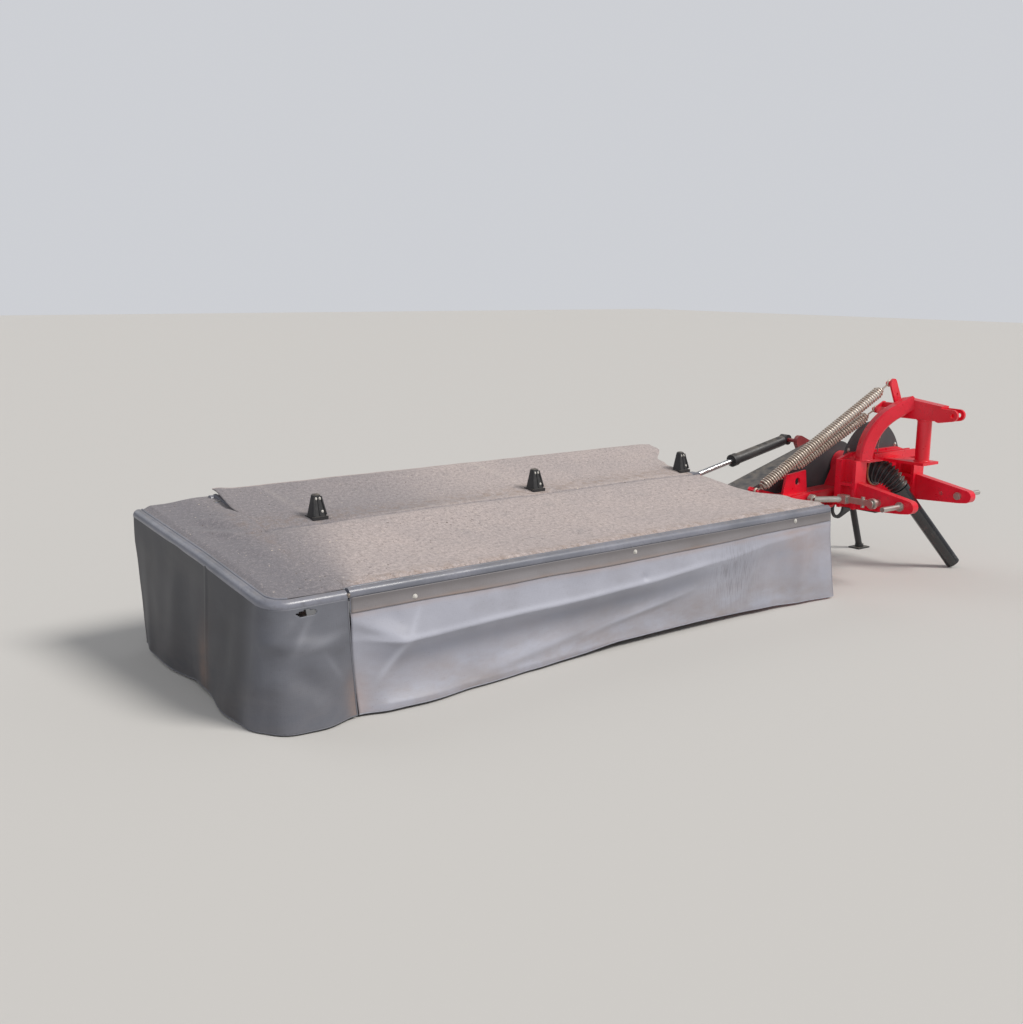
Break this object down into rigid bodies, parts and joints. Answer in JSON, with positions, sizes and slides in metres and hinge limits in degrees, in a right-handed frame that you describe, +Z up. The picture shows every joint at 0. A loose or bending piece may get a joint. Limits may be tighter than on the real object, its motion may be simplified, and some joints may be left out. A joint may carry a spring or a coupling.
{
  "type": "disc mower",
  "caption": "Rear-mounted side disc mower with cloth-covered cutter bar, fold pivot, relief springs, parking stand and drive shaft.",
  "frame": {"origin": "centre of the footprint, on the ground", "axes": "+Z up, +X along the cutter bar towards the hitch, +Y towards the rear, away from the tractor"},
  "size_m": [4.55, 1.4886, 1.12],
  "materials": {
    "red_paint": "gloss",
    "dark_red_paint": "satin",
    "black_paint": "satin",
    "grey_guard": "satin",
    "zinc": "satin",
    "chrome": "polished",
    "cast_housing": "rough",
    "worn_steel": "worn",
    "cover_frame": "satin",
    "top_cloth": "dusty coated cloth",
    "curtain_cloth": "coated cloth",
    "black_plastic": "satin",
    "gloss_black_plastic": "gloss",
    "bellows_rubber": "satin",
    "spring_steel": "zinc plated"
  },
  "bodies": {
    "headstock": {"lower_arm_near": "red_paint", "lower_arm_far": "red_paint", "lower_link_pins": "zinc", "link_bolt": "zinc", "headstock_plate": "red_paint", "bridge_post": "red_paint", "mast_arm": "red_paint", "top_link_arm": "red_paint", "spring_bracket": "red_paint", "input_housing": "cast_housing", "input_shield": "grey_guard", "pto_bellows": "bellows_rubber", "pto_hook": "zinc", "stand_bracket": "black_paint", "relief_spring_front": "spring_steel", "relief_spring_rear": "spring_steel"},
    "stand": {"stand_leg": "black_paint"},
    "pto_shaft": {"pto_yoke": "worn_steel", "pto_guard_tube": "gloss_black_plastic"},
    "carrier": {"carrier_frame": "red_paint", "carrier_rear_plate": "dark_red_paint", "belt_guard": "grey_guard"},
    "breakaway_link": {"break_link": "zinc"},
    "lift_cylinder": {"lift_barrel": "black_paint"},
    "lift_piston": {"lift_rod": "chrome"},
    "cutter_unit": {"gearbox": "cast_housing", "cutterbar": "red_paint", "skids": "worn_steel", "inner_end_plate": "red_paint", "outer_shoe": "worn_steel", "fold_cheek_front": "red_paint", "fold_cheek_rear": "red_paint", "cover_beam": "cover_frame", "rear_frame": "cover_frame", "rear_top_sheet": "top_cloth", "rear_curtain": "curtain_cloth", "hinge_cones": "black_plastic", "end_brackets": "zinc"},
    "front_cover": {"front_frame": "cover_frame", "front_top_sheet": "top_cloth", "front_curtain": "curtain_cloth"},
    "end_cover": {"end_frame": "cover_frame", "end_top_sheet": "top_cloth", "end_curtain": "curtain_cloth"},
    "disc_1": {"disc_1": "worn_steel"},
    "disc_2": {"disc_2": "worn_steel"},
    "disc_3": {"disc_3": "worn_steel"},
    "disc_4": {"disc_4": "worn_steel"},
    "disc_5": {"disc_5": "worn_steel"},
    "disc_6": {"disc_6": "worn_steel"},
    "disc_7": {"disc_7": "worn_steel"}
  },
  "joints": [
    {"name": "stand_fold", "type": "hinge", "parent": "headstock", "child": "stand", "pos_m": [2.05, 0.10769, 0.325], "axis": [0, 1, 0], "range_deg": [0, 80]},
    {"name": "pto_swing", "type": "hinge", "parent": "headstock", "child": "pto_shaft", "pos_m": [1.8, -0.31231, 0.575], "axis": [-0.8269, 0, -0.5623], "range_deg": [0, 65], "deforming": ["pto_bellows"]},
    {"name": "float", "type": "hinge", "parent": "headstock", "child": "carrier", "pos_m": [1.8, -0.02531, 0.575], "axis": [0, 1, 0], "range_deg": [-15, 0], "deforming": ["relief_spring_front", "relief_spring_rear"]},
    {"name": "breakaway_link_swing", "type": "hinge", "parent": "headstock", "child": "breakaway_link", "pos_m": [1.435, -0.46631, 0.449], "axis": [1, 0, 0], "range_deg": [-25, 0]},
    {"name": "fold", "type": "hinge", "parent": "carrier", "child": "cutter_unit", "pos_m": [0.955, 0.03769, 0.37], "axis": [0, 1, 0], "range_deg": [-20, 90], "deforming": ["relief_spring_front", "relief_spring_rear"]},
    {"name": "lift_cylinder_swing", "type": "hinge", "parent": "carrier", "child": "lift_cylinder", "pos_m": [1.645, 0.32569, 0.705], "axis": [0, 1, 0], "range_deg": [-7, 2]},
    {"name": "lift_piston_slide", "type": "slide", "parent": "lift_cylinder", "child": "lift_piston", "axis": [-0.9823, 0, -0.1871], "range_m": [-0.315, 0.071]},
    {"name": "front_cover_tilt", "type": "hinge", "parent": "cutter_unit", "child": "front_cover", "pos_m": [-0.406, 0.15569, 0.59], "axis": [1, 0, 0], "range_deg": [-100, 0]},
    {"name": "end_cover_fold", "type": "hinge", "parent": "cutter_unit", "child": "end_cover", "pos_m": [-1.933, 0.17769, 0.592], "axis": [0, 0.9922, 0.125], "range_deg": [0, 90]},
    {"name": "disc_1_spin", "type": "hinge", "parent": "cutter_unit", "child": "disc_1", "pos_m": [0.675, 0.02769, 0.1], "axis": [0, 0, 1], "continuous": true},
    {"name": "disc_2_spin", "type": "hinge", "parent": "cutter_unit", "child": "disc_2", "pos_m": [0.239, 0.02769, 0.1], "axis": [0, 0, 1], "continuous": true},
    {"name": "disc_3_spin", "type": "hinge", "parent": "cutter_unit", "child": "disc_3", "pos_m": [-0.197, 0.02769, 0.1], "axis": [0, 0, 1], "continuous": true},
    {"name": "disc_4_spin", "type": "hinge", "parent": "cutter_unit", "child": "disc_4", "pos_m": [-0.633, 0.02769, 0.1], "axis": [0, 0, 1], "continuous": true},
    {"name": "disc_5_spin", "type": "hinge", "parent": "cutter_unit", "child": "disc_5", "pos_m": [-1.069, 0.02769, 0.1], "axis": [0, 0, 1], "continuous": true},
    {"name": "disc_6_spin", "type": "hinge", "parent": "cutter_unit", "child": "disc_6", "pos_m": [-1.505, 0.02769, 0.1], "axis": [0, 0, 1], "continuous": true},
    {"name": "disc_7_spin", "type": "hinge", "parent": "cutter_unit", "child": "disc_7", "pos_m": [-1.941, 0.02769, 0.1], "axis": [0, 0, 1], "continuous": true}
  ],
  "couplings": [
    {"joint": "breakaway_link_swing", "follows": "float", "ratio": 1.6},
    {"joint": "lift_cylinder_swing", "follows": "fold", "ratio": -0.07},
    {"joint": "lift_piston_slide", "follows": "fold", "m_per_rad": -0.1986},
    {"joint": "disc_2_spin", "follows": "disc_1_spin", "ratio": -1},
    {"joint": "disc_3_spin", "follows": "disc_1_spin", "ratio": 1},
    {"joint": "disc_4_spin", "follows": "disc_1_spin", "ratio": -1},
    {"joint": "disc_5_spin", "follows": "disc_1_spin", "ratio": 1},
    {"joint": "disc_6_spin", "follows": "disc_1_spin", "ratio": -1},
    {"joint": "disc_7_spin", "follows": "disc_1_spin", "ratio": 1}
  ]
}
